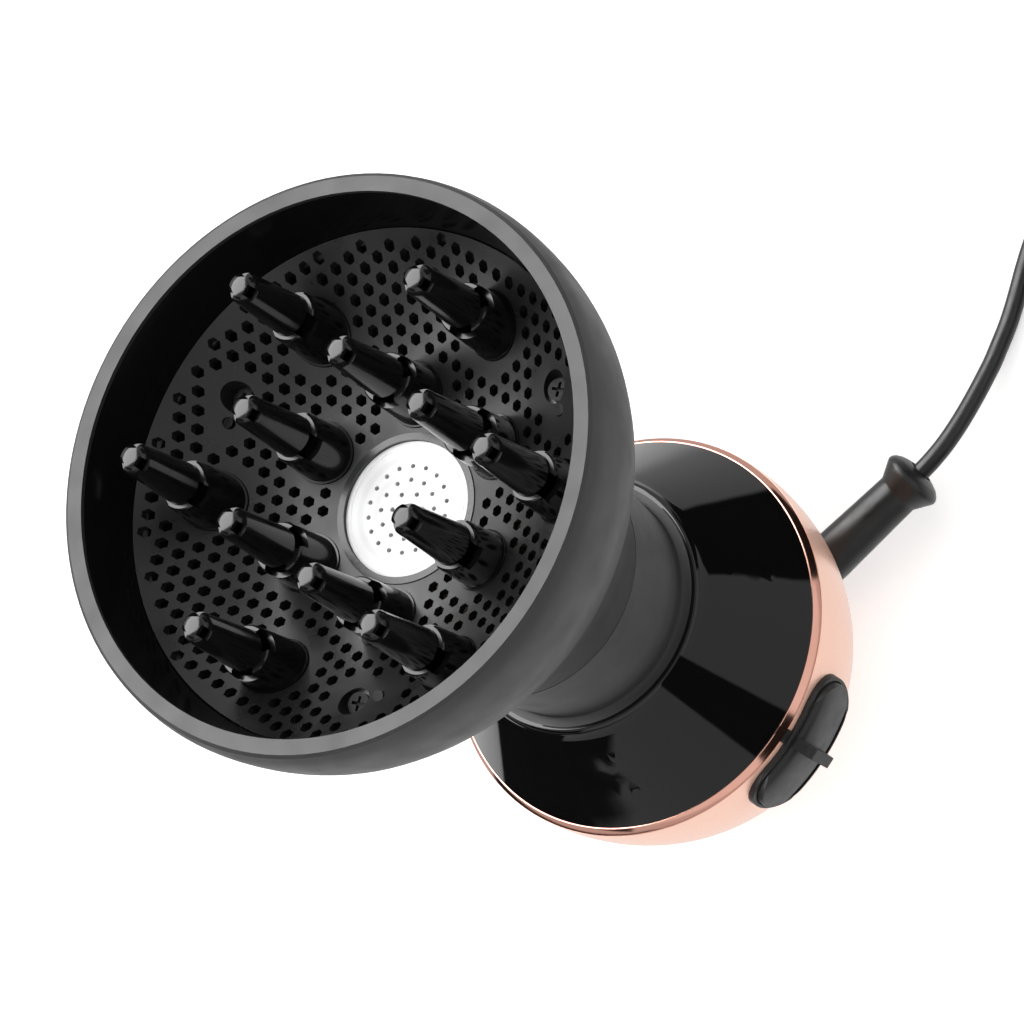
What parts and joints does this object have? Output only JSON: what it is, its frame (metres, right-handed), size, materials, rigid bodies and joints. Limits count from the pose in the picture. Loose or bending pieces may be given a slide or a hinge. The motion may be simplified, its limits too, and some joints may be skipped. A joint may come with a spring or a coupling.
{
  "type": "hair dryer",
  "caption": "Handle-less hair dryer with a round motor body, short neck and a built-in diffuser bowl with hollow fingers, standing on its flat rear face with its power cord",
  "frame": {"origin": "Centre of the flat rear face, which the dryer stands on", "axes": "+Z runs along the body's axis from the rear face to the bowl's mouth; -Y points to the switch; +X is to the right when looking at the switch"},
  "size_m": [0.3373, 0.2033, 0.2628],
  "materials": {
    "bowl_matte": "fine matte grain",
    "liner_gloss": "high gloss",
    "plate_satin": "satin",
    "finger_gloss": "high gloss",
    "disc_ring": "satin gloss",
    "disc_mirror": "bright satin",
    "screw_steel": "black oxide",
    "pin_steel": "turned, black oxide",
    "cone_gloss": "piano black",
    "trim_rose": "polished rose gold",
    "shell_rose": "satin metallic lacquer",
    "grille_black": "matte",
    "filter_foam": "open foam",
    "switch_matte": "matte",
    "switch_block": "matte",
    "board_green": "solder resist",
    "duct_grey": "matte",
    "can_steel": "zinc plated",
    "magnet_dark": "sintered",
    "end_cap_black": "matte",
    "bush_bronze": "sintered bronze",
    "carbon_black": "pressed carbon",
    "fan_plastic": "satin",
    "core_steel": "stacked sheet",
    "winding_copper": "enamelled copper wire",
    "commutator_copper": "turned copper",
    "mica_board": "mica sheet",
    "heating_alloy": "oxidised wire",
    "thermostat_ceramic": "ceramic",
    "fuse_white": "sleeved",
    "clamp_plastic": "matte",
    "cord_rubber": "satin",
    "pin_nickel": "nickel plated"
  },
  "bodies": {
    "dryer": {"diffuser_bowl": "bowl_matte", "bowl_liner": "liner_gloss", "finger_plate": "plate_satin", "disc_ring": "disc_ring", "centre_disc": "disc_mirror", "plate_screws": "screw_steel", "locating_pins": "pin_steel", "neck_sleeve": "bowl_matte", "gloss_cone": "cone_gloss", "trim_ring": "trim_rose", "rear_shell": "shell_rose", "rear_grille": "grille_black", "intake_filter": "filter_foam", "switch_bezel": "switch_matte", "switch_block": "switch_block", "circuit_board": "board_green", "fan_duct": "duct_grey", "housing_screws": "screw_steel", "motor_mount": "duct_grey", "motor_can": "can_steel", "motor_magnets": "magnet_dark", "motor_end_cap": "end_cap_black", "bearing_bushes": "bush_bronze", "carbon_brushes": "carbon_black", "heater_frame": "mica_board", "heating_wire": "heating_alloy", "heater_sleeve": "mica_board", "thermostat": "thermostat_ceramic", "thermal_fuse": "fuse_white", "strain_relief": "cord_rubber", "cord_clamp": "clamp_plastic", "clamp_screws": "screw_steel", "power_cord": "cord_rubber", "cord_coil": "cord_rubber", "plug_body": "cord_rubber", "plug_pins": "pin_nickel", "finger_01": "finger_gloss", "finger_02": "finger_gloss", "finger_03": "finger_gloss", "finger_04": "finger_gloss", "finger_05": "finger_gloss", "finger_06": "finger_gloss", "finger_07": "finger_gloss", "finger_08": "finger_gloss", "finger_09": "finger_gloss", "finger_10": "finger_gloss", "finger_11": "finger_gloss", "finger_12": "finger_gloss"},
    "rotor": {"fan_wheel": "fan_plastic", "motor_shaft": "can_steel", "armature_core": "core_steel", "armature_winding": "winding_copper", "commutator": "commutator_copper"},
    "rocker": {"switch_rocker": "switch_matte"}
  },
  "joints": [
    {"name": "fan_spin", "type": "hinge", "parent": "dryer", "child": "rotor", "pos_m": [0, 0, 0.021], "axis": [0, 0, 1], "continuous": true},
    {"name": "switch_rock", "type": "hinge", "parent": "dryer", "child": "rocker", "pos_m": [0, -0.0588, 0.04885], "axis": [0, 0, 1], "range_deg": [-4, 4]}
  ]
}
